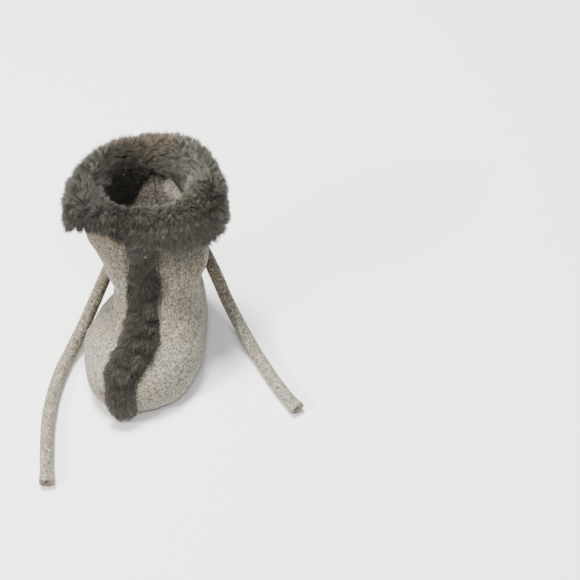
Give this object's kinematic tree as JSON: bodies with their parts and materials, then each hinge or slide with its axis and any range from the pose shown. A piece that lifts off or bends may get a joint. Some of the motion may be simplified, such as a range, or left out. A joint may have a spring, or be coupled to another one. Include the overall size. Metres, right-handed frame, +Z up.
{
  "type": "baby bootie",
  "caption": "Soft baby bootie of brushed suede cloth with a folded fur cuff, a fur strip down the front and rolled ties sewn on behind the ankle.",
  "frame": {"origin": "on the floor under the sole, midway across it and a little behind its middle", "axes": "+Z up, -Y towards the toe, +X to the right when the toe is seen from the front"},
  "size_m": [0.1332, 0.1504, 0.1038],
  "materials": {
    "suede": "brushed suede cloth with a faint shimmer",
    "fur": "plush fur pile",
    "lining": "matt brushed cloth",
    "padding": "matt foam",
    "thread": "twisted thread"
  },
  "bodies": {
    "root": {"outsole": "suede", "sole_padding": "padding", "insole": "lining", "upper_left": "suede", "upper_right": "suede", "lining_left": "lining", "lining_right": "lining", "fur_strip": "fur", "fur_cuff": "fur", "tie_left": "suede", "tie_right": "suede", "tie_tacks": "thread", "sole_seam_thread": "thread", "back_seam_thread": "thread", "strip_seam_threads": "thread", "cuff_seam_thread": "thread"}
  },
  "joints": []
}
